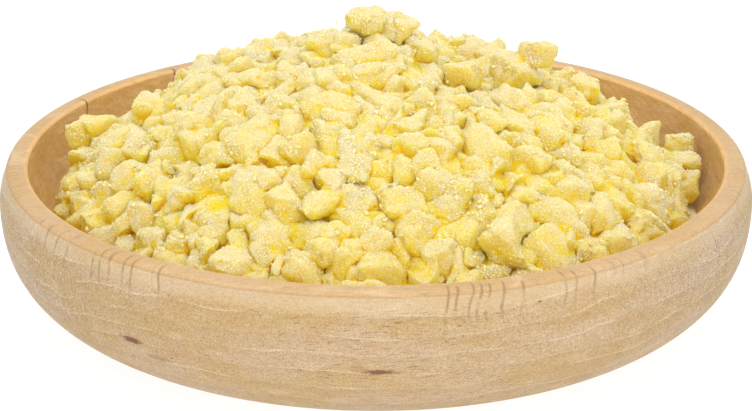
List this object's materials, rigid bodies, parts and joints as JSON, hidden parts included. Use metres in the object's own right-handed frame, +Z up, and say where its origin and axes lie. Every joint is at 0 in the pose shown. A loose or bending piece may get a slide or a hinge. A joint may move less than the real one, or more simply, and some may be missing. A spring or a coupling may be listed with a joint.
{
  "type": "bowl of chopped ginger",
  "caption": "Shallow turned beech bowl with a rounded rim and a flat base, filled with a high heap of chopped ginger root in uneven dice.",
  "frame": {"origin": "centre of the bowl's flat base, on the surface that it stands on", "axes": "+Z up along the bowl's turning axis, -Y towards the viewer of the picture, +X to the right"},
  "size_m": [0.2, 0.2, 0.0771],
  "materials": {
    "beech": "turned and sanded beech, unvarnished, satin to matt",
    "ginger": "cut root flesh, pale yellow, damp and frosty, slightly translucent"
  },
  "bodies": {
    "root": {"bowl": "beech", "chopped_ginger": "ginger"}
  },
  "joints": []
}
